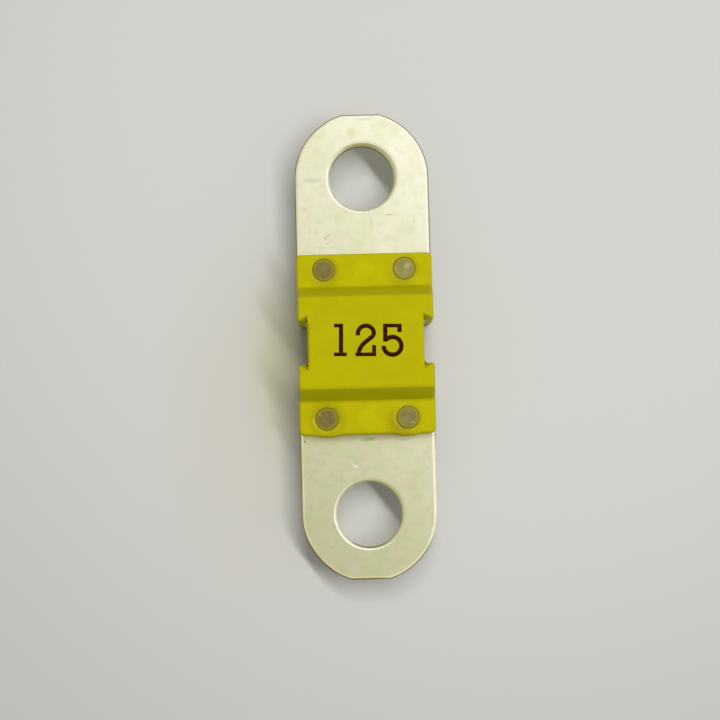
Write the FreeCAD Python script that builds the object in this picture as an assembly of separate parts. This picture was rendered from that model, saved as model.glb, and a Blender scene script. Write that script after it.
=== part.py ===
import FreeCAD, Part
import math
import os

# Bolt down strip fuse, in millimetres.
# +Z is up, +Y runs along the strip and +X across it.
# The origin is under the middle of the lower housing, on the surface that the fuse lies on.

# Strip, one blanking from tin plated copper alloy sheet
bolt_spacing = 30.0
bolt_hole_diameter = 5.8
strip_width = 12.0
strip_thickness = 0.8
tip_flat_width = 3.4
tip_corner_radius = 0.6
die_roll_width = 0.2
die_roll_easing_width = 0.08

# Fusible link in the middle of the strip
neck_width = 7.6
taper_outer_reach = 3.7
taper_inner_reach = 2.6
bridge_width = 1.5
collar_width = 3.0
collar_reach = 1.0
collar_slope_run = 0.6
link_corner_radius = 0.35

# Tin pellet riveted through the collar, which melts the link on a long overload
pellet_diameter = 1.5
pellet_head_diameter = 2.1
pellet_head_height = 0.25
pellet_clearance = 0.02

# Housing, two mouldings of the same outer form
crown_length = 7.9
crown_height = 3.85
ramp_run = 1.15
flange_length = 2.92
flange_height = 1.95
housing_side_margin = 0.05
draft_angle = 2.0
edge_radius = 0.28
foot_chamfer = 0.15
crease_radius = 0.4
flange_corner_radius = 0.5

# Notches in the two long sides, which snap over the latches of a fuse holder
notch_mouth = 3.6
notch_depth = 0.87
notch_mouth_radius = 0.35
notch_floor_radius = 0.25
relief_run = 0.45
relief_drop = 0.8

# Arc chamber inside the housing
roof_wall = 0.9
side_wall = 0.9
end_wall = 1.2
chamber_corner_radius = 0.5
gate_clearance = 0.15
shoulder_clearance = 0.1

# Pins of the lower housing, heat staked in recesses of the upper one
pin_side_distance = 2.5
pin_diameter = 1.5
pin_strip_clearance = 0.1
pin_housing_clearance = 0.04
stake_head_diameter = 1.96
stake_recess_clearance = 0.03
stake_recess_depth = 0.5
stake_dish_width = 0.28
stake_dish_depth = 0.14
stake_head_sink = 0.1
stake_head_chamfer = 0.1

# The front pins were staked hard, which pushed the thin flange wall out beside them
stake_bulge = 0.18
stake_bulge_width = 2.6
stake_bulge_slope_run = 0.7
stake_bulge_radius = 1.8

# Worked out from the sizes above
half_strip = strip_thickness / 2
flange_top = half_strip + flange_height
crown_top = half_strip + crown_height
ramp_foot = crown_length / 2 + ramp_run
housing_half_length = ramp_foot + flange_length
housing_half_width = strip_width / 2 + housing_side_margin
draft = math.tan(math.radians(draft_angle))
lug_radius = strip_width / 2
tip_reach = bolt_spacing / 2 + math.sqrt(lug_radius ** 2 - (tip_flat_width / 2) ** 2)
shoulder_reach = ramp_foot + shoulder_clearance
pin_across = housing_half_width - pin_side_distance
pin_reach = ramp_foot + flange_length / 2
chamber_half_width = housing_half_width - notch_depth - side_wall
chamber_half_length = ramp_foot - end_wall
chamber_top = crown_top - roof_wall
pin_places = [(x * pin_across, y * pin_reach) for x in (-1, 1) for y in (-1, 1)]

# How far a cutting body runs past the face that it cuts, and how much a bevel cutter grows for it
overshoot = 1.0
bevel_growth = 1.3

# How close two measured positions are that count as the same
same_place = 0.01

# Steepest slope in degrees of a face that counts as an upper one, and of one that counts as level
upper_face_angle = 72.0
level_face_angle = 8.0
upper_normal = math.cos(math.radians(upper_face_angle))
level_normal = math.cos(math.radians(level_face_angle))

UP = FreeCAD.Vector(0, 0, 1)
CENTRE = FreeCAD.Vector(0, 0, 0)


def flat_point(z):
    """Place outline points in the level plane at height z."""
    return lambda u, v: FreeCAD.Vector(u, v, z)


def side_point(x):
    """Place outline points in the upright plane that is seen from the side."""
    return lambda u, v: FreeCAD.Vector(x, u, v)


def rounded_wire(corners, place):
    """Closed wire through corners (u, v, radius), each rounded by an arc of its radius."""
    arcs = []
    for index, (u, v, radius) in enumerate(corners):
        corner = FreeCAD.Vector(u, v, 0)
        before = FreeCAD.Vector(*corners[index - 1][:2], 0) - corner
        after = FreeCAD.Vector(*corners[(index + 1) % len(corners)][:2], 0) - corner
        half_angle = before.getAngle(after) / 2
        run = radius / math.tan(half_angle)
        before.normalize()
        after.normalize()
        inward = (before + after).normalize() if radius else CENTRE
        middle = corner + inward * (radius / math.sin(half_angle) - radius)
        arcs.append((corner + before * run, middle, corner + after * run, radius))
    edges = []
    for index, (start, middle, end, radius) in enumerate(arcs):
        if radius:
            points = [place(point.x, point.y) for point in (start, middle, end)]
            edges.append(Part.Arc(*points).toShape())
        next_start = arcs[(index + 1) % len(arcs)][0]
        edges.append(Part.LineSegment(place(end.x, end.y), place(next_start.x, next_start.y)).toShape())
    return Part.Wire(edges)


def plate(corners, bottom, top):
    """Upright prism between two heights."""
    face = Part.Face(rounded_wire(corners, flat_point(bottom)))
    return face.extrude(UP * (top - bottom))


def closed_solid(rings):
    """Solid bounded by flat faces, each given by the points around it."""
    shell = Part.Shell([Part.Face(Part.makePolygon(ring + ring[:1])) for ring in rings])
    shell.sewShape()
    solid = Part.Solid(shell)
    return solid if solid.Volume > 0 else solid.reversed()


def drafted_block(corners_at, top):
    """Block from level 0 up whose walls lean in by the draft."""
    lower = rounded_wire(corners_at(0), flat_point(0))
    upper = rounded_wire(corners_at(top * draft), flat_point(top))
    return Part.makeLoft([lower, upper], True, True)


def drill(x, y, diameter, bottom, top):
    """Round cutting body about an upright axis."""
    return Part.makeCylinder(diameter / 2, top - bottom, FreeCAD.Vector(x, y, bottom), UP)


def mirror_corners(corners):
    """The same outline points on the other side of the long axis, in reverse order."""
    return [(-u, v, radius) for u, v, radius in reversed(corners)]


def middle_normal(face):
    """Outward normal at the middle of a face."""
    u_low, u_high, v_low, v_high = face.ParameterRange
    return face.normalAt((u_low + u_high) / 2, (v_low + v_high) / 2)


def shared_edges(first_faces, second_faces):
    """Edges that a face of the first list has in common with one of the second."""
    own = [edge for face in first_faces for edge in face.Edges]
    others = [edge for face in second_faces for edge in face.Edges]
    return [edge for edge in own if any(edge.isSame(other) for other in others)]


def rim_edges(shape):
    """Edges where the upper faces meet the upright walls."""
    upper = [face for face in shape.Faces if middle_normal(face).z > upper_normal]
    walls = [face for face in shape.Faces if abs(middle_normal(face).z) < upper_normal]
    return shared_edges(upper, walls)


def slope_edges(shape):
    """Edges where the level upper faces meet a slope."""
    level = [face for face in shape.Faces if middle_normal(face).z > level_normal]
    slopes = [face for face in shape.Faces if upper_normal < middle_normal(face).z < level_normal]
    return shared_edges(level, slopes)


def strip_corners():
    """Outline of the strip, with square lug ends."""
    half_bridge = bridge_width / 2
    right = [
        (strip_width / 2, -tip_reach, 0),
        (strip_width / 2, -shoulder_reach, 0),
        (neck_width / 2, -shoulder_reach, link_corner_radius),
        (neck_width / 2, -taper_outer_reach, link_corner_radius),
        (half_bridge, -taper_inner_reach, link_corner_radius),
        (half_bridge, -collar_reach - collar_slope_run, link_corner_radius),
        (collar_width / 2, -collar_reach, link_corner_radius),
    ]
    right += [(u, -v, radius) for u, v, radius in reversed(right)]
    return right + mirror_corners(right)


def lug_envelope():
    """Round-ended slab that gives both lugs their end arcs about the bolt holes."""
    reach = bolt_spacing / 2
    height = strip_thickness + 2 * overshoot
    base = FreeCAD.Vector(-lug_radius, -reach, -height / 2)
    slab = Part.makeBox(strip_width, bolt_spacing, height, base)
    ends = [drill(0, y, strip_width, -height / 2, height / 2) for y in (-reach, reach)]
    return slab.fuse(ends).removeSplitter()


def fuse_strip():
    """Strip with its lugs, link and holes; the die has rolled the upper edges of the lugs over.

    The roll is wide and shallow at the top and steeper at the wall, so it is cut as two slopes.
    """
    strip = plate(strip_corners(), -half_strip, half_strip).common(lug_envelope())
    holes = [drill(0, y * bolt_spacing / 2, bolt_hole_diameter, -overshoot, overshoot) for y in (-1, 1)]
    strip = strip.cut(holes)
    tip_edges = [
        edge for edge in strip.Edges
        if abs(abs(edge.CenterOfMass.y) - tip_reach) < same_place
        and abs(abs(edge.CenterOfMass.x) - tip_flat_width / 2) < same_place
    ]
    strip = strip.makeFillet(tip_corner_radius, tip_edges)
    rolled = [edge for edge in rim_edges(strip) if abs(edge.CenterOfMass.y) > housing_half_length]
    strip = strip.makeChamfer(die_roll_width, rolled)
    strip = strip.makeChamfer(die_roll_easing_width, slope_edges(strip))
    pin_hole = pin_diameter + 2 * pin_strip_clearance
    small_holes = [drill(x, y, pin_hole, -overshoot, overshoot) for x, y in pin_places]
    small_holes.append(drill(0, 0, pellet_diameter + 2 * pellet_clearance, -overshoot, overshoot))
    return strip.cut(small_holes)


def link_pellet():
    """Rivet of tin with a flat head on each face of the link."""
    shank = drill(0, 0, pellet_diameter, -half_strip, half_strip)
    head = drill(0, 0, pellet_head_diameter, half_strip, half_strip + pellet_head_height)
    return shank.fuse([head, head.mirror(CENTRE, UP)])


def housing_corners(inset):
    """Plan of a housing half with its walls moved in by inset, round the same corner centres."""
    half_width = housing_half_width - inset
    half_length = housing_half_length - inset
    mouth = notch_mouth / 2 + inset
    floor = half_width - notch_depth
    flange_corner = flange_corner_radius - inset
    mouth_corner = notch_mouth_radius - inset
    floor_corner = notch_floor_radius + inset
    right = [
        (half_width, -half_length, flange_corner),
        (half_width, -mouth, mouth_corner),
        (floor, -mouth, floor_corner),
        (floor, mouth, floor_corner),
        (half_width, mouth, mouth_corner),
        (half_width, half_length, flange_corner),
    ]
    return right + mirror_corners(right)


def swollen_corners(inset):
    """The same plan with a flat swelling of the front wall beside each front pin."""
    front = inset - housing_half_length
    turn = math.atan2(stake_bulge, stake_bulge_slope_run)
    foot = stake_bulge_width / 2 - inset * math.tan(turn / 2)
    shoulder = foot - stake_bulge_slope_run
    right = [
        (pin_across - foot, front, stake_bulge_radius + inset),
        (pin_across - shoulder, front - stake_bulge, stake_bulge_radius - inset),
        (pin_across + shoulder, front - stake_bulge, stake_bulge_radius - inset),
        (pin_across + foot, front, stake_bulge_radius + inset),
    ]
    return mirror_corners(right) + right + housing_corners(inset)


def profile_prism():
    """Side profile of a housing half: flange, ramp, crown, ramp and flange, wider than the housing."""
    reach = housing_half_length + overshoot
    half_crown = crown_length / 2
    profile = [
        (-reach, half_strip, 0),
        (-ramp_foot, half_strip, 0),
        (-ramp_foot, 0, 0),
        (ramp_foot, 0, 0),
        (ramp_foot, half_strip, 0),
        (reach, half_strip, 0),
        (reach, flange_top, 0),
        (ramp_foot, flange_top, crease_radius),
        (half_crown, crown_top, crease_radius),
        (-half_crown, crown_top, crease_radius),
        (-ramp_foot, flange_top, crease_radius),
        (-reach, flange_top, 0),
    ]
    half_width = housing_half_width + overshoot
    face = Part.Face(rounded_wire(profile, side_point(-half_width)))
    return face.extrude(FreeCAD.Vector(2 * half_width, 0, 0))


def relief_cutter(side, end):
    """Three-sided cutter that bevels one end wall of a notch down to the notch floor."""
    inset = crown_top * draft
    half_width = housing_half_width - inset
    floor = half_width - notch_depth
    mouth = notch_mouth / 2 + inset
    inner = FreeCAD.Vector(floor, mouth, crown_top)
    far = FreeCAD.Vector(floor, mouth + relief_run, crown_top)
    outer = FreeCAD.Vector(half_width, mouth, crown_top)
    low = FreeCAD.Vector(floor, mouth, crown_top - relief_drop)
    inner, outer, low = [far + (point - far) * bevel_growth for point in (inner, outer, low)]
    inner, far, outer = [low + (point - low) * bevel_growth for point in (inner, far, outer)]
    points = [FreeCAD.Vector(side * p.x, end * p.y, p.z) for p in (inner, far, outer, low)]
    triangles = [[point for point in points if point is not left_out] for left_out in points]
    return closed_solid(triangles)


def chamber():
    """Hollow above the link, and the gates that the necks lie in."""
    right = [
        (chamber_half_width, -chamber_half_length, chamber_corner_radius),
        (chamber_half_width, chamber_half_length, chamber_corner_radius),
    ]
    hollow = plate(right + mirror_corners(right), -overshoot, chamber_top)
    gate_half_width = neck_width / 2 + gate_clearance
    gate_base = FreeCAD.Vector(-gate_half_width, -ramp_foot - overshoot, -overshoot)
    gate_length = 2 * (ramp_foot + overshoot)
    gate = Part.makeBox(2 * gate_half_width, gate_length, half_strip + overshoot, gate_base)
    return hollow.fuse(gate)


def housing_blank(corners_at):
    """Solid form of a housing half, modelled as the upper one from the middle of the strip up."""
    return drafted_block(corners_at, crown_top + overshoot).common(profile_prism())


def cleared(blank):
    """The blank with its notch reliefs and its chamber."""
    reliefs = [relief_cutter(side, end) for side in (-1, 1) for end in (-1, 1)]
    return blank.cut(reliefs + [chamber()])


def stake_recess(x, y):
    """Pin bore with the recess that a staked head fills and the dish that the hot tool left around it."""
    radius = stake_head_diameter / 2 + stake_recess_clearance
    floor = flange_top - stake_recess_depth
    bore = drill(x, y, pin_diameter + 2 * pin_housing_clearance, -overshoot, flange_top + overshoot)
    recess = drill(x, y, 2 * radius, floor, flange_top + overshoot)
    dish_base = FreeCAD.Vector(x, y, flange_top - stake_dish_depth)
    dish = Part.makeCone(radius, radius + 2 * stake_dish_width, 2 * stake_dish_depth, dish_base, UP)
    return bore.fuse([recess, dish])


def staked_pin(x, y):
    """Pin of the lower housing and the head that heat has formed on it."""
    floor = flange_top - stake_recess_depth
    shank = drill(x, y, pin_diameter, -half_strip - flange_height / 2, floor)
    head = drill(x, y, stake_head_diameter, floor, flange_top - stake_head_sink)
    head = head.makeChamfer(stake_head_chamfer, rim_edges(head))
    return shank.fuse(head).removeSplitter()


def upper_housing():
    """Coloured half, with rounded edges and the recesses."""
    blank = housing_blank(swollen_corners)
    shell = cleared(blank.makeFillet(edge_radius, rim_edges(blank)))
    return shell.cut([stake_recess(x, y) for x, y in pin_places])


def lower_housing():
    """Uncoloured half, with chamfered edges and the pins."""
    blank = housing_blank(housing_corners)
    shell = cleared(blank.makeChamfer(foot_chamfer, rim_edges(blank))).mirror(CENTRE, UP)
    return shell.fuse([staked_pin(x, y) for x, y in pin_places])


parts = {
    "fuse_strip": fuse_strip(),
    "link_pellet": link_pellet(),
    "lower_housing": lower_housing(),
    "upper_housing": upper_housing(),
}

os.makedirs("parts", exist_ok=True)
for name, shape in parts.items():
    shape.translate(FreeCAD.Vector(0, 0, crown_top))
    shape.exportStep("parts/" + name + ".step")
    box = shape.BoundBox
    print(name, len(shape.Solids), "solids", shape.isValid(), round(shape.Volume, 3),
          [round(v, 3) for v in (box.XMin, box.XMax, box.YMin, box.YMax, box.ZMin, box.ZMax)])
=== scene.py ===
# %% [markdown]
# # A bolt down strip fuse
#
# A flat plated strip carries the current from one bolt to the other. In its middle, under a two part
# plastic housing, the strip narrows to a link that melts when the current is too high. The metal and
# plastic parts come from the CAD model, so this lesson gives them their finishes, prints the rating on
# the crown, and sets up the floor, the light and the camera of the photograph.

# %% Load the CAD parts
import math
import bmesh
import bpy
from mathutils import Euler, Matrix, Vector


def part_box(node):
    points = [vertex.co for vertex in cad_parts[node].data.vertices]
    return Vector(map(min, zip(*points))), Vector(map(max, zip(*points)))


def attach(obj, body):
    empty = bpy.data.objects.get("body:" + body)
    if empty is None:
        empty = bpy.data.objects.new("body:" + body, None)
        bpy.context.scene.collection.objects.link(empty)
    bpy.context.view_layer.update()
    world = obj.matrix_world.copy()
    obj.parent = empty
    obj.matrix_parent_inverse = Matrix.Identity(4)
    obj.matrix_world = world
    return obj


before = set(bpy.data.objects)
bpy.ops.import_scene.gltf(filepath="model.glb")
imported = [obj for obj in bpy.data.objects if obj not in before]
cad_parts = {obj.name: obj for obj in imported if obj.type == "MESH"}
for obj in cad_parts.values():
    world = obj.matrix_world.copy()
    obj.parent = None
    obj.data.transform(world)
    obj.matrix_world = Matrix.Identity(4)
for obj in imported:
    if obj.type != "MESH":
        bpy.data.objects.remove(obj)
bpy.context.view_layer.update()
MM = 0.001
strip_low, strip_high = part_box("fuse_strip")
crown_low, crown_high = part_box("upper_housing")
crown_top = crown_high.z
print("strip length", round((strip_high.y - strip_low.y) / MM, 2), "mm")
print("crown top at", round(crown_top / MM, 2), "mm")

# %% [markdown]
# ## Shader sums that read like sums
#
# A procedural finish is mostly arithmetic on masks and noise. Wiring each sum by hand hides what it
# means, so a small class wraps a socket and lets +, - and * add the Math nodes. Every other node comes
# from one method of the finish that owns the node tree.

# %% A socket that takes part in arithmetic
class Wire:
    """One output socket of a node tree."""

    def __init__(self, owner, socket):
        self.owner = owner
        self.socket = socket

    def sum(self, operation, first, second):
        return self.owner.node("ShaderNodeMath", {"operation": operation}, {0: first, 1: second})

    def __add__(self, other):
        return self.sum("ADD", self, other)

    def __radd__(self, other):
        return self.sum("ADD", other, self)

    def __sub__(self, other):
        return self.sum("SUBTRACT", self, other)

    def __rsub__(self, other):
        return self.sum("SUBTRACT", other, self)

    def __mul__(self, other):
        return self.sum("MULTIPLY", self, other)

    def __rmul__(self, other):
        return self.sum("MULTIPLY", other, self)


# %% The node tree of a finish
class Nodes:
    """Adds nodes to one tree and gives them back as wires."""

    def __init__(self, tree):
        self.tree = tree
        tree.nodes.clear()

    def node(self, kind, settings=None, inputs=None, output=0):
        """One node: its settings first, then the value or wire of each input. Gives one output."""
        made = self.tree.nodes.new(kind)
        for name, value in (settings or {}).items():
            if name == "stops":
                self.set_stops(made.color_ramp.elements, value)
            else:
                setattr(made, name, value)
        for key, value in (inputs or {}).items():
            if isinstance(value, Wire):
                self.tree.links.new(value.socket, made.inputs[key])
            else:
                made.inputs[key].default_value = value
        return Wire(self, made.outputs[output]) if made.outputs else made

    def set_stops(self, stops, greys):
        """Gives a colour ramp the stops (place, grey), in place of the two that it starts with."""
        stops.remove(stops[-1])
        stops[0].position = greys[0][0]
        for place, _ in greys[1:]:
            stops.new(place)
        for stop, (_, grey) in zip(stops, greys):
            stop.color = (grey, grey, grey, 1)

    def mix(self, factor, first, second):
        """The first colour where factor is 0 and the second where it is 1."""
        return self.node("ShaderNodeMix", {"data_type": "RGBA"}, {0: factor, 6: first, 7: second}, 2)

    def places(self):
        """Where a point is on the part, in millimetres."""
        coordinates = self.node("ShaderNodeTexCoord", output=3)
        scale = {"Vector": coordinates, "Scale": (1 / MM, 1 / MM, 1 / MM)}
        return self.node("ShaderNodeMapping", {"vector_type": "POINT"}, scale)

    def level(self, places):
        """How high a point is."""
        return self.node("ShaderNodeSeparateXYZ", inputs={"Vector": places}, output=2)

    def noise(self, places, grain, detail=2.0):
        """Noise from 0 to 1 whose features are about grain = (x, y, z) millimetres large."""
        scale = {"Vector": places, "Scale": tuple(1 / size for size in grain)}
        stretched = self.node("ShaderNodeMapping", {"vector_type": "POINT"}, scale)
        inputs = {"Vector": stretched, "Scale": 1.0, "Detail": detail}
        return self.node("ShaderNodeTexNoise", inputs=inputs)

    def ramp(self, value, low, high):
        """0 at low and 1 at high, with a smooth change between them."""
        ends = {"Value": value, "From Min": low, "From Max": high}
        return self.node("ShaderNodeMapRange", {"interpolation_type": "SMOOTHSTEP"}, ends)

    def distance(self, places, centre, half_size, turn=0.0):
        """0 at a spot's centre and 1 on its oval edge, in plan; turn is in degrees."""
        frame_of_spot = {
            "Vector": places,
            "Location": (*centre, 0),
            "Rotation": (0, 0, math.radians(turn)),
            "Scale": (*half_size, 1e6),
        }
        local = self.node("ShaderNodeMapping", {"vector_type": "TEXTURE"}, frame_of_spot)
        return self.node("ShaderNodeVectorMath", {"operation": "LENGTH"}, {0: local}, 1)

    def disc(self, places, centre, radius, edge):
        """Mask of a round area whose edge is the given share of its radius wide."""
        return self.ramp(self.distance(places, centre, (radius, radius)), 1.0, 1.0 - edge)

    def discs(self, places, centres, radius, edge):
        """The same round area at several places, as one mask."""
        return sum(self.disc(places, centre, radius, edge) for centre in centres)

    def spot(self, places, centre, half_size, turn=0.0):
        """Soft oval mask."""
        return self.ramp(self.distance(places, centre, half_size, turn), 1.0, 0.2)

    def spots(self, places, marks):
        """Soft oval marks, each (centre, half size, turn, weight), as one mask."""
        return sum(self.spot(places, *mark) * weight for *mark, weight in marks)

    def bump(self, height, strength, depth):
        """Normals of a surface whose height varies by about depth millimetres."""
        inputs = {"Strength": strength, "Distance": depth * MM, "Height": height}
        return self.node("ShaderNodeBump", inputs=inputs)


# %% Colours, and a finish made of sockets
def srgb(red, green, blue):
    """A colour as it is picked from a picture, from 0 to 255, as the shader wants it."""
    def linear(value):
        value /= 255
        return value / 12.92 if value <= 0.04045 else ((value + 0.055) / 1.055) ** 2.4
    return (linear(red), linear(green), linear(blue), 1.0)


def finish(name, paint):
    """A material whose Principled sockets are what paint(nodes) gives."""
    material = bpy.data.materials.new(name)
    material.use_nodes = True
    nodes = Nodes(material.node_tree)
    surface = nodes.node("ShaderNodeBsdfPrincipled", inputs=paint(nodes))
    nodes.node("ShaderNodeOutputMaterial", inputs={"Surface": surface})
    return material


print("a middle grey of 128 is", round(srgb(128, 128, 128)[0], 3), "to the shader")

# %% [markdown]
# ## Tin plate
#
# The strip is stamped from sheet that was tinned before it was stamped. Tin is bright but not polished:
# it has a warm pale tone, a fine grain along the rolling direction, and soft cloudy patches where
# fingers and other parts touched it. Cloudy patches change the colour and the roughness together, and
# small dents and scratches go into the bump, so they catch the light from any side. A picture could
# carry such marks, but masks drawn by distance stay sharp at any zoom and are easy to move.
#
# Each mark is written as its centre, half size, turn in degrees and weight, in millimetres in plan. A
# rim shade ring is a darker olive band round a bolt hole, widest on its upper right, where the rolled
# edge faces away from the lamp. It is painted shade, and needs only its centre and radius.

# %% Mark the tin plate
TIN_STAINS = [
    ((-0.85, 19.2), (0.7, 0.5), 10, 1.0),
    ((-3.5, 18.85), (0.8, 0.45), 35, 0.5),
    ((3.1, 19.2), (0.9, 0.6), 20, 0.45),
    ((0.75, 10.9), (0.35, 1.1), 0, 0.5),
    ((-4.6, -19.0), (1.0, 0.7), 40, 0.6),
    ((3.6, -12.6), (1.2, 0.8), 0, 0.4),
]
# Dull grey smudges on the tin; along the front flange some of them are painted shadow.
TIN_SMUDGES_AND_SHADE = [
    ((-4.35, 14.85), (1.5, 0.32), 0, 0.7),
    ((0.3, 20.3), (1.1, 0.16), 0, 0.6),
    ((-3.6, 19.6), (1.2, 0.1), 32, 0.7),
    ((-1.7, -9.9), (0.45, 0.15), 0, 0.8),
    ((0.1, -8.4), (0.9, 0.2), 6, 1.0),
    ((3.3, -8.5), (0.9, 0.12), 2, 0.5),
    # The long band at (0.0, -8.1) is a painted shadow of the front flange across the lower lug; the
    # marks at (0.1, -8.4) and (3.3, -8.5) darken the lug along the flange as well.
    ((0.0, -8.1), (7.5, 0.6), 0, 0.7),
    ((-3.3, -17.8), (0.4, 0.18), 10, 0.8),
    ((-0.5, -19.0), (0.45, 0.16), -5, 0.7),
    ((-5.1, 12.2), (0.25, 0.4), 30, 0.5),
    ((4.6, 11.0), (0.2, 0.5), -20, 0.4),
]
TIN_SCRATCHES = [
    ((2.35, 11.6), (0.55, 0.07), 2, 0.9),
    ((-3.1, 9.85), (0.38, 0.06), 30, 0.8),
    ((-3.4, 9.6), (0.07, 0.28), 10, 0.9),
    ((-3.2, 9.15), (0.2, 0.06), -20, 0.7),
    ((-2.4, -11.95), (0.06, 0.42), 4, 1.0),
    ((-5.6, -8.5), (0.15, 0.15), 0, 1.0),
    ((0.55, 12.0), (0.04, 0.7), 2, 0.4),
    ((-4.9, 11.6), (0.35, 0.05), 50, 0.4),
    ((4.9, -10.4), (0.05, 0.6), 12, 0.4),
]
TIN_DING = ((-1.1, -10.65), (0.42, 0.24), -30, 1.0)
RIM_SHADE_RINGS = [((0.2, 15.24), 3.32), ((0.14, -14.86), 3.24)]
print(len(TIN_STAINS + TIN_SMUDGES_AND_SHADE + TIN_SCRATCHES), "stains, smudges and scratches on the tin")

# %% [markdown]
# The press cut through the tin, so the edges are bare brown metal. It is smooth where the punch
# burnished it, and darker and rougher below, where the sheet tore. The tin is drawn down over the rims
# of the bolt holes and less far over the outline. So one value, the depth below the upper face, tells
# where the bare metal starts. The weight of a bared edge is how much higher it starts there, and it is
# negative where the tin covers the edge. The brown band is painted higher at the lower left and the tip
# of the lower lug, as painted shade on edges that face away from the lamp, and lower on the lit right
# edge of the lower lug, as a painted highlight.

# %% Paint the tin plate
BOLT_HOLES = [(0.0, 15.0), (0.0, -15.0)]
# The first two spots widen the brown band as painted shade; the last narrows it as a painted highlight.
BARE_EDGES_AND_SHADE = [
    ((-4.4, -18.9), (3.6, 3.6), 0, 0.07),
    ((-0.5, -20.7), (2.6, 1.2), 0, 0.05),
    ((6.0, -13.4), (1.6, 7.5), 0, -0.12),
]
strip_top = strip_high.z / MM
strip_bottom = strip_low.z / MM
hole_rim_reach = 3.5
tin_over_hole_rim = 0.1
bare_depth = (0.09, 0.15)
torn_height = (0.42, 0.34)
burr_height = 0.02


def tin_plate(nodes):
    places = nodes.places()
    level = nodes.level(places)
    clouds = nodes.noise(places, (2.4, 3.2, 3.0), 3.0)
    patches = nodes.noise(places, (0.9, 0.7, 0.8), 3.0)
    tints = nodes.noise(places, (1.7, 1.3, 1.5), 2.0)
    grain = nodes.noise(places, (0.05, 1.4, 0.3), 3.0)
    orange_peel = nodes.noise(places, (0.22, 0.3, 0.25), 2.0)
    stain = nodes.spots(places, TIN_STAINS)
    smudge_and_shade = nodes.spots(places, TIN_SMUDGES_AND_SHADE)
    scratch = nodes.spots(places, TIN_SCRATCHES)
    ding = nodes.spots(places, [TIN_DING])
    # Painted shade: an olive band round each bolt hole rim, widest on the upper right, away from the
    # lamp.
    rim_shade = sum(nodes.disc(places, centre, radius, 0.16) for centre, radius in RIM_SHADE_RINGS)
    shear_lines = nodes.noise(places, (0.07, 0.07, 1.2), 2.0)
    at_hole = nodes.discs(places, BOLT_HOLES, hole_rim_reach, 0.05)
    depth = strip_top - level - at_hole * tin_over_hole_rim + nodes.spots(places, BARE_EDGES_AND_SHADE)
    above_bottom = level - strip_bottom
    cut = nodes.ramp(depth, *bare_depth) * nodes.ramp(above_bottom, 0.0, burr_height)
    torn = nodes.ramp(above_bottom, *torn_height) * cut
    plain = nodes.mix(nodes.ramp(clouds, 0.35, 0.68), srgb(246, 244, 212), srgb(238, 238, 196))
    warm = nodes.mix(nodes.ramp(tints, 0.5, 0.72) * 0.5, plain, srgb(243, 231, 197))
    cool = nodes.mix(nodes.ramp(tints, 0.5, 0.28) * 0.5, warm, srgb(231, 240, 190))
    clouded = nodes.mix(nodes.ramp(patches, 0.48, 0.7) * 0.4, cool, srgb(226, 224, 184))
    streaked = nodes.mix(nodes.ramp(grain, 0.5, 0.8) * 0.22, clouded, srgb(214, 210, 170))
    stained = nodes.mix(stain * 0.5, streaked, srgb(214, 216, 140))
    # Grey smudges, and the painted shadow of the front flange on the lower lug.
    smudged_and_shaded = nodes.mix(smudge_and_shade * 0.4, stained, srgb(170, 168, 142))
    rim_shaded = nodes.mix(rim_shade * 0.4, smudged_and_shaded, srgb(168, 160, 96))
    scratched = nodes.mix(scratch * 0.65, rim_shaded, srgb(140, 122, 98))
    dinged = nodes.mix(ding * 0.7, scratched, srgb(255, 255, 246))
    burnished = nodes.mix(shear_lines, srgb(150, 130, 96), srgb(122, 104, 80))
    fractured = nodes.mix(shear_lines, srgb(128, 106, 76), srgb(98, 80, 60))
    bare = nodes.mix(torn, burnished, fractured)
    marks = scratch * 1.6 + ding * 2.0
    height = grain * 0.35 + orange_peel * 0.5 - marks + shear_lines * (cut + torn * 3.0)
    dulled = clouds * 0.1 + stain * 0.08 + smudge_and_shade * 0.15 + grain * 0.05 + cut * 0.1 + torn * 0.15
    return {
        "Base Color": nodes.mix(cut, dinged, bare),
        "Metallic": 1.0,
        "Roughness": 0.24 + dulled,
        "Normal": nodes.bump(height, 0.25, 0.012),
    }


print("bare metal below", bare_depth[1], "mm, torn in the lowest", torn_height[1], "mm")

# %% [markdown]
# ## Yellow moulding
#
# The upper half is a dense coloured plastic out of a finely spark eroded mould. Its surface is satin, so
# the bump is a very fine noise. Ejector pins leave a faint round mark in the middle of each flange, and
# handling leaves hair scratches. Round the four pins the plastic is painted darker and browner, in ovals
# set a little toward the lower left. At the front pins the hot staking tool pushed up a thin, uneven
# bead, and a brighter yellow ring on it is a painted highlight. All of these are masks drawn by distance
# from a place.

# %% Where the yellow moulding is marked
flange_middle = 6.56
ejector_radius = 0.92
EJECTOR_MARKS = [(0.0, flange_middle), (0.0, -flange_middle)]
pin_across = 3.55
PIN_PLACES = [(x * pin_across, y * flange_middle) for x in (-1, 1) for y in (-1, 1)]
FRONT_PINS = [(x * pin_across, -flange_middle) for x in (-1, 1)]
bead_inner_radius = 1.16
bead_outer_radius = 1.4
melted_radius = 1.4
# Darker, browner ovals round the pins, set a little toward the lower left.
DARK_OVALS_ROUND_PINS = [
    ((-pin_across, flange_middle - 0.4), (2.0, 1.9), 0, 0.5),
    ((pin_across - 0.4, flange_middle - 0.5), (1.7, 1.7), 0, 0.5),
    ((-pin_across, -flange_middle), (2.2, 2.1), 0, 1.0),
    ((pin_across - 0.5, -flange_middle - 0.4), (2.0, 1.9), 0, 0.9),
]
print("pins at", PIN_PLACES)

# %% Paint the yellow moulding
flange_level = 6.7
crown_level = 8.4
tone_change = 0.3


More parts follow.
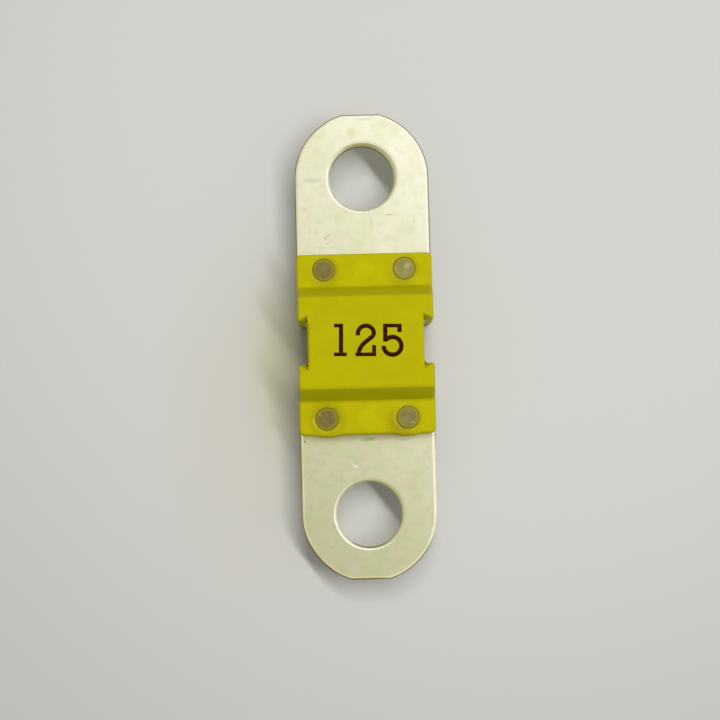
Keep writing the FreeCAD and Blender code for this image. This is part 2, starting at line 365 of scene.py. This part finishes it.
def yellow_plastic(nodes):
    places = nodes.places()
    level = nodes.level(places)
    mottle = nodes.noise(places, (1.8, 1.8, 1.8), 3.0)
    texture = nodes.noise(places, (0.07, 0.07, 0.07))
    hairs = nodes.noise(places, (0.9, 0.035, 0.2), 1.0)
    hair_mask = nodes.ramp(hairs, 0.66, 0.74)
    ejector = nodes.discs(places, EJECTOR_MARKS, ejector_radius, 0.1)
    melted = nodes.discs(places, PIN_PLACES, melted_radius, 0.2)
    bead_outside = nodes.discs(places, FRONT_PINS, bead_outer_radius, 0.14)
    bead_inside = nodes.discs(places, FRONT_PINS, bead_inner_radius, 0.14)
    uneven = nodes.ramp(nodes.noise(places, (0.9, 0.9, 0.9)), 0.35, 0.65)
    cloudy = nodes.ramp(mottle, 0.3, 0.7)
    on_crown = nodes.ramp(level, crown_level - tone_change, crown_level)
    above_flange = nodes.ramp(level, flange_level, flange_level + tone_change)
    crown_tone = nodes.mix(cloudy, srgb(193, 186, 2), srgb(187, 180, 5))
    flange_tone = nodes.mix(cloudy, srgb(196, 189, 2), srgb(190, 183, 4))
    # The ramps are painted a darker yellow than the flat faces: painted shade on the slopes.
    shaded_ramp_tone = nodes.mix(on_crown, srgb(180, 174, 2), crown_tone)
    tone = nodes.mix(above_flange, flange_tone, shaded_ramp_tone)
    marked = nodes.mix(ejector * 0.35, tone, srgb(206, 198, 3))
    browned = nodes.mix(nodes.spots(places, DARK_OVALS_ROUND_PINS) * 0.8, marked, srgb(150, 138, 6))
    # Painted highlight: a brighter yellow ring where the raised bead at the front pins catches the
    # light.
    bead_highlighted = nodes.mix((bead_outside - bead_inside) * uneven * 0.5, browned, srgb(212, 206, 20))
    return {
        "Base Color": nodes.mix(hair_mask * 0.12, bead_highlighted, srgb(214, 208, 90)),
        "Specular IOR Level": 0.1,
        "Roughness": 0.4 + mottle * 0.1 + texture * 0.06,
        "Coat Weight": melted * 0.25,
        "Coat Roughness": 0.15,
        "Normal": nodes.bump(texture * 0.5 - hair_mask * 0.4 - ejector * 4.0, 0.35, 0.015),
    }


print("the ramps are between", flange_level, "and", crown_level, "mm")

# %% [markdown]
# ## Natural moulding
#
# The lower half has no pigment and is slightly cloudy. In the 2.4 mm below the parting line it is
# painted a darker yellow brown, strongest at the line, which stands for the yellow half's light coming
# through it and for the shade on its walls. Its pins come up through the yellow half and were mushroomed
# over with a hot tool, which left the four heads dull, uneven and a little browned. Their rims are
# painted a brighter yellow, a painted reflection of the yellow round them that also lifts the shade at
# their edges. Pale streaks on the two front heads are painted glints. A coarse noise mixes the tones,
# and a finer one dents the surface.

# %% Paint the natural moulding
head_radius = 0.94
parting_level = crown_low.z / MM
glow_depth = 2.4
below_heads = (5.2, 5.0)
BROWNED_HEADS = [
    ((-pin_across, flange_middle), 0.9),
    ((-pin_across, -flange_middle), 1.0),
    ((pin_across, -flange_middle), 0.5),
]
# The first two are painted glints on the front pin heads; the third is a pale patch on the back right
# head.
PALE_MARKS_AND_GLINTS = [
    ((-4.15, -6.2), (0.06, 0.25), 5, 0.6),
    ((3.95, -7.0), (0.22, 0.08), 35, 0.6),
    ((3.8, 6.8), (0.5, 0.35), 40, 0.35),
]


def natural_plastic(nodes):
    places = nodes.places()
    level = nodes.level(places)
    scorch = nodes.noise(places, (0.6, 0.6, 0.6), 3.0)
    dimples = nodes.noise(places, (0.28, 0.28, 0.28))
    browned = sum(
        nodes.disc(places, pin, melted_radius, 0.3) * weight for pin, weight in BROWNED_HEADS)
    head = nodes.discs(places, PIN_PLACES, head_radius, 0.3)
    around = nodes.discs(places, PIN_PLACES, melted_radius, 0.2)
    rising = nodes.ramp(level, parting_level - glow_depth, parting_level)
    glow = rising * nodes.ramp(level, *below_heads)
    plain = nodes.mix(nodes.ramp(scorch, 0.35, 0.65), srgb(156, 152, 92), srgb(146, 138, 76))
    burnt = nodes.mix(nodes.ramp(scorch, 0.4, 0.6), srgb(128, 118, 56), srgb(122, 104, 62))
    tone = nodes.mix(browned, plain, burnt)
    # Painted light: the head rims are a brighter yellow, standing for the yellow round them and lifting
    # their shade.
    rim_light_painted = nodes.mix((around - head) * 0.85, tone, srgb(164, 152, 30))
    # Painted light and shade: darker yellow brown below the parting line, for light through the yellow
    # half and shade on the walls.
    glow_and_shade = nodes.mix(glow * 0.7, rim_light_painted, srgb(132, 112, 20))
    return {
        "Base Color": nodes.mix(nodes.spots(places, PALE_MARKS_AND_GLINTS), glow_and_shade, srgb(214, 208, 170)),
        "Specular IOR Level": 0.2,
        "Roughness": 0.34 + scorch * 0.16,
        "Normal": nodes.bump(dimples, 0.5, 0.05),
    }


print("parting line at", round(parting_level, 2), "mm")

# %% [markdown]
# ## Cast tin
#
# The small rivet on the link is cast tin. It is duller and greyer than the plate, with a grain of frozen
# crystals, which are the cells of a Voronoi texture. The housing hides the rivet, but a part is finished
# inside as well.

# %% Paint the cast tin
def cast_tin(nodes):
    places = nodes.places()
    crystals = nodes.node("ShaderNodeTexVoronoi", inputs={"Vector": places, "Scale": 3.5})
    tone = nodes.mix(crystals, srgb(206, 205, 196), srgb(184, 183, 176))
    return {
        "Base Color": tone,
        "Metallic": 1.0,
        "Roughness": 0.38 + crystals * 0.1,
        "Normal": nodes.bump(crystals, 0.3, 0.02),
    }


# %% [markdown]
# Each CAD part keeps its mesh and its name. Only the material in its slot is new.

# %% Give the CAD parts their finishes
PAINTS = {
    "fuse_strip": tin_plate,
    "link_pellet": cast_tin,
    "lower_housing": natural_plastic,
    "upper_housing": yellow_plastic,
}
for name, paint in PAINTS.items():
    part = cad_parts[name]
    part.data.materials.clear()
    part.data.materials.append(finish(paint.__name__, paint))
    print(name, "has", len(part.data.polygons), "faces")

# %% [markdown]
# ## The printed rating
#
# The rating stands on the crown in brown ink, in the figures of a stamp: one even stroke with square
# ends. Such a figure is a path for a pen with a flat nib. The nib is one edge, and each move extrudes it
# straight on or spins it round a centre, so a figure is a short list of runs and turns.

# %% A flat pen
ink_stroke = 0.375
turn_steps_per_quarter = 8
print("the pen draws a stroke of", ink_stroke, "mm")


def heading_vector(heading):
    return Vector((math.cos(math.radians(heading)), math.sin(math.radians(heading)), 0))


def pen(start, heading, moves, stroke=ink_stroke):
    """A ribbon from start. A move is a run's length, or a turn's (radius, degrees), to the left if
    positive."""
    ribbon = bmesh.new()
    place = Vector((*start, 0))
    side = heading_vector(heading + 90) * stroke / 2
    nib = [ribbon.edges.new([ribbon.verts.new(place + side), ribbon.verts.new(place - side)])]
    for move in moves:
        if isinstance(move, tuple):
            radius, degrees = move
            to_centre = heading_vector(heading + math.copysign(90, degrees)) * radius
            steps = math.ceil(abs(degrees) / 90 * turn_steps_per_quarter)
            turned = bmesh.ops.spin(
                ribbon, geom=nib + nib[0].verts[:], cent=place + to_centre, axis=(0, 0, 1),
                angle=math.radians(degrees), steps=steps)
            place = place + to_centre - Matrix.Rotation(math.radians(degrees), 3, "Z") @ to_centre
            heading += degrees
            moved = turned["geom_last"]
        else:
            moved = bmesh.ops.extrude_edge_only(ribbon, edges=nib)["geom"]
            step = heading_vector(heading) * move
            ends = [v for v in moved if isinstance(v, bmesh.types.BMVert)]
            bmesh.ops.translate(ribbon, verts=ends, vec=step)
            place = place + step
        nib = [edge for edge in moved if isinstance(edge, bmesh.types.BMEdge)]
    return ribbon


def cut_off(ribbon, point, direction):
    """Removes what lies beyond point in that direction."""
    everything = ribbon.verts[:] + ribbon.edges[:] + ribbon.faces[:]
    bmesh.ops.bisect_plane(
        ribbon, geom=everything, plane_co=(*point, 0), plane_no=(*direction, 0), clear_outer=True)
    return ribbon


# %% [markdown]
# Each figure is written down in its own millimetres, with the middle of the whole print as its origin. A
# bar that meets a stem stops at its side, because two films of ink at one height would flicker.

# %% The three figures
figure_top = 1.41
serif_stroke = 0.32
serif_middle = figure_top - serif_stroke / 2
serif_bottom = figure_top - serif_stroke
print("the figures are", 2 * figure_top, "mm tall")


def figure_one():
    stem = -2.39
    left = -3.0
    right = -1.88
    stem_left = stem - ink_stroke / 2
    return [
        pen((stem, figure_top), -90, [figure_top + serif_bottom]),
        pen((left, serif_middle), 0, [stem_left - left], serif_stroke),
        pen((left, -serif_middle), 0, [right - left], serif_stroke),
    ]


def figure_two():
    left = -1.13
    right = 0.65
    tail_width = 0.34
    tail_top = -0.44
    bar_top = -serif_bottom
    body = pen((-0.93, 0.39), 90, [0.15, (0.70, -160), (0.45, -71), 0.80, (1.5, 43), 0.3])
    return [
        cut_off(body, (0, bar_top), (0, -1)),
        pen((left, -serif_middle), 0, [right - left], serif_stroke),
        pen((right - tail_width / 2, bar_top), 90, [tail_top - bar_top], tail_width),
    ]


def figure_five():
    stem = 1.44
    bowl_centre = Vector((2.07, -0.51))
    bowl_radius = 0.77
    bowl_stroke = 0.39
    stem_right = stem + ink_stroke / 2
    stem_bottom = -0.15
    top_left = stem - ink_stroke / 2
    top_right = 2.86
    flag_bottom = 0.68
    flag_middle = top_right - ink_stroke / 2
    bowl_left = (bowl_centre.x - bowl_radius, bowl_centre.y)
    bowl_top = (bowl_centre.x, bowl_centre.y + bowl_radius)
    return [
        pen(bowl_left, -90, [(bowl_radius, 270)], bowl_stroke),
        cut_off(pen(bowl_top, 180, [(bowl_radius, 75)], bowl_stroke), (stem_right, 0), (-1, 0)),
        pen((stem, serif_bottom), -90, [serif_bottom - stem_bottom]),
        pen((top_left, serif_middle), 0, [top_right - top_left], serif_stroke),
        pen((flag_middle, serif_bottom), -90, [serif_bottom - flag_bottom]),
    ]


# %% [markdown]
# The ribbons become one film. It stands a few micrometres proud and reaches a little into the plastic,
# so no face of it lies exactly in the crown. The stamp was not quite square to the part.

# %% Lay the film on the crown
print_middle = (0.233, 0.147)
print_turn = -1.37
film_above = 0.008
film_below = 0.008
joined_within = 1e-4


def joined(ribbons):
    """One flat bmesh of all the ribbons."""
    film = bmesh.new()
    for ribbon in ribbons:
        stroke_mesh = bpy.data.meshes.new("stroke")
        ribbon.to_mesh(stroke_mesh)
        film.from_mesh(stroke_mesh)
        ribbon.free()
        bpy.data.meshes.remove(stroke_mesh)
    bmesh.ops.remove_doubles(film, verts=film.verts, dist=joined_within)
    return film


def printed_rating():
    film = joined(figure_one() + figure_two() + figure_five())
    raised = bmesh.ops.extrude_face_region(film, geom=film.faces[:])["geom"]
    top = [v for v in raised if isinstance(v, bmesh.types.BMVert)]
    bmesh.ops.translate(film, verts=top, vec=(0, 0, film_above + film_below))
    bmesh.ops.recalc_face_normals(film, faces=film.faces[:])
    turn = Matrix.Rotation(math.radians(print_turn), 3, "Z")
    bmesh.ops.rotate(film, verts=film.verts, matrix=turn)
    bmesh.ops.translate(film, verts=film.verts, vec=(*print_middle, -film_below))
    bmesh.ops.scale(film, verts=film.verts, vec=(MM, MM, MM))
    bmesh.ops.translate(film, verts=film.verts, vec=(0, 0, crown_top))
    mesh = bpy.data.meshes.new("rating_print")
    film.to_mesh(mesh)
    film.free()
    piece = bpy.data.objects.new("rating_print", mesh)
    bpy.context.scene.collection.objects.link(piece)
    return piece


rating = printed_rating()
print("print has", len(rating.data.polygons), "faces")

# %% [markdown]
# Stamp ink is a dark red brown. It lies thicker in some places, which shows as a slightly lighter tone
# and a softer gloss where it is thin.

# %% Ink the film
def stamp_ink(nodes):
    places = nodes.places()
    thin = nodes.ramp(nodes.noise(places, (0.22, 0.22, 0.22), 3.0), 0.45, 0.75)
    skin = nodes.noise(places, (0.05, 0.05, 0.05), 2.0)
    return {
        "Base Color": nodes.mix(thin, srgb(50, 20, 4), srgb(70, 36, 8)),
        "Specular IOR Level": 0.04,
        "Roughness": 0.42 + thin * 0.15,
        "Normal": nodes.bump(skin, 0.3, 0.01),
    }


rating.data.materials.append(finish("stamp_ink", stamp_ink))
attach(rating, "root")
print("print is inked with", rating.data.materials[0].name)

# %% [markdown]
# ## Floor
#
# The fuse lies on a pale grey sheet. It is larger than the view, so that it also fills a picture taken
# from the side, and it has a faint tooth so that it doesn't look like a void. The sheet is a little
# darker far from the lamp. Light that came through the yellow plastic lies in the shadow to the left of
# the housing, and two soft yellow ovals in the colour of the sheet stand for it.

# %% Lay the floor
floor_size = 1.5
lit_centre = (10.0, 20.0)
lit_reach = (70.0, 70.0)
YELLOW_LIGHT = [
    ((-6.5, -1.0), (6.0, 13.0), 0, 0.5),
    ((-11.0, -7.0), (11.0, 22.0), 0, 0.2),
]


def pale_sheet(nodes):
    places = nodes.places()
    tooth = nodes.noise(places, (0.5, 0.5, 0.5))
    paper = nodes.mix(tooth, srgb(218, 218, 215), srgb(220, 220, 217))
    away = nodes.ramp(nodes.distance(places, lit_centre, lit_reach), 0.4, 1.1)
    far = nodes.mix(away, paper, srgb(201, 200, 198))
    return {
        "Base Color": nodes.mix(nodes.spots(places, YELLOW_LIGHT), far, srgb(206, 202, 166)),
        "Roughness": 0.8 + tooth * 0.1,
    }


floor_mesh = bmesh.new()
bmesh.ops.create_grid(floor_mesh, x_segments=1, y_segments=1, size=floor_size)
floor_data = bpy.data.meshes.new("floor")
floor_mesh.to_mesh(floor_data)
floor_mesh.free()
floor = bpy.data.objects.new("floor", floor_data)
bpy.context.scene.collection.objects.link(floor)
floor.data.materials.append(finish("pale_sheet", pale_sheet))
print("floor is", 2 * floor_size, "m wide")

# %% [markdown]
# ## Light
#
# The shadows fall to the lower left and have one straight soft edge, as under a long tube lamp. A long
# area lamp above the right side gives them. It hangs on a chain of turns: lean it over, then swing it
# round to its bearing.

# %% Hang the lamp
lamp_distance = 0.6
lamp_tilt = math.radians(15)
lamp_bearing = math.atan2(0.6, 0.8)
lamp_data = bpy.data.lights.new("tube_lamp", "AREA")
lamp_data.shape = "RECTANGLE"
lamp_data.size = 0.6
lamp_data.size_y = 0.045
lamp_data.energy = 2.5
lamp_data.color = (1.0, 0.99, 0.96)
lamp = bpy.data.objects.new("tube_lamp", lamp_data)
lamp.visible_glossy = False
bpy.context.scene.collection.objects.link(lamp)
bearing_turn = Matrix.Rotation(lamp_bearing, 4, "Z")
tilt_turn = Matrix.Rotation(lamp_tilt, 4, "Y")
tube_turn = Matrix.Rotation(math.radians(90), 4, "Z")
reach = Matrix.Translation((0, 0, lamp_distance))
lamp.matrix_world = bearing_turn @ tilt_turn @ reach @ tube_turn
print("lamp hangs at", [round(value, 2) for value in lamp.matrix_world.translation], "m")

# %% [markdown]
# The world is three rooms in one, chosen by the kind of ray. What lights the part is a soft fill,
# strongest overhead and a little stronger from the right. With the lamp it gives a level surface the
# plain level at which a colour renders as it is written. What the metal mirrors is a room with dim
# warm walls on one side and a bright cool ceiling on the other, which gives the two lugs their two
# tones. What the camera sees past the floor is a plain pale backdrop.

# %% Fill with the world
world = bpy.data.worlds.new("room")
bpy.context.scene.world = world
world.use_nodes = True
room = Nodes(world.node_tree)
direction = room.node("ShaderNodeTexCoord")
rise = room.level(direction)


def towards(side):
    """How much a ray heads to one side, from -1 to 1."""
    return room.node("ShaderNodeVectorMath", {"operation": "DOT_PRODUCT"}, {0: direction, 1: side}, 1)


def background(color, strength):
    return room.node("ShaderNodeBackground", inputs={"Color": color, "Strength": strength})


fill_strength = 0.33
horizon_share = 0.3
zenith_share = 1.33
side_share = 0.28
fill_side = (1.0, -0.35, 0.0)
heights = {"Value": rise, "To Min": horizon_share, "To Max": zenith_share}
height_share = room.node("ShaderNodeMapRange", inputs=heights)
fill_level = (height_share + towards(fill_side) * side_share) * fill_strength
fill = background((1.0, 0.99, 0.98, 1.0), fill_level)
print("fill from the zenith", round(fill_strength * zenith_share, 2))

# %% What the metal mirrors
bright_side = (0.73, 0.68, 0.0)
brightest_wall = 2.2
OVERHEAD = [(0.3, 0.1), (0.43, 0.135), (0.6, 0.51), (0.72, 1.15)]
ROUND_ABOUT = [(0.0, 0.34), (0.5, 0.4), (0.8, 0.5), (1.0, 0.62)]
low_rise = (0.92, 0.75)
bearing_share = towards(bright_side) * 0.5 + 0.5
overhead = room.node("ShaderNodeValToRGB", {"stops": OVERHEAD}, {"Fac": bearing_share})
round_about = room.node("ShaderNodeValToRGB", {"stops": ROUND_ABOUT}, {"Fac": bearing_share})
low = room.ramp(rise, *low_rise)
walls = overhead * (1 - low) + round_about * low
warm_wall = (1.0, 0.99, 0.68, 1.0)
cool_wall = (1.0, 1.0, 1.22, 1.0)
tint = room.mix(room.ramp(walls, 0.25, 0.58), warm_wall, cool_wall)
reflected = background(tint, walls * brightest_wall)
print("the room mirrors up to", round(OVERHEAD[-1][1] * brightest_wall, 2))

# %% Choose the room by the ray
def ray_is(kind):
    return room.node("ShaderNodeLightPath", output=kind)


backdrop = background((0.85, 0.85, 0.84, 1.0), 1.0)
mirror_rays = ray_is("Is Glossy Ray") + ray_is("Is Transmission Ray")
lit = room.node("ShaderNodeMixShader", inputs={0: mirror_rays, 1: fill, 2: reflected})
seen = room.node("ShaderNodeMixShader", inputs={0: ray_is("Is Camera Ray"), 1: lit, 2: backdrop})
room.node("ShaderNodeOutputWorld", inputs={"Surface": seen})
print("world has", len(world.node_tree.nodes), "nodes")

# %% [markdown]
# ## Camera
#
# The photograph looks almost straight down from close by. The camera stands over the front half of the
# fuse and leans a few degrees to look at its middle. Its place and lens were worked out from the two
# bolt holes and the ends of the strip.

# %% Place the camera
camera_data = bpy.data.cameras.new("camera")
camera_data.sensor_width = 36
camera_data.lens = 77.66
camera_data.clip_start = 0.01
camera = bpy.data.objects.new("camera", camera_data)
bpy.context.scene.collection.objects.link(camera)
camera.location = Vector((-1.450, -9.700, 142.544)) * MM
camera.rotation_euler = Euler((0.0607, -0.0052, -0.0244))
bpy.context.scene.camera = camera
bpy.context.scene.view_settings.view_transform = "Standard"
print("camera stands", round(camera.location.z / MM), "mm up")
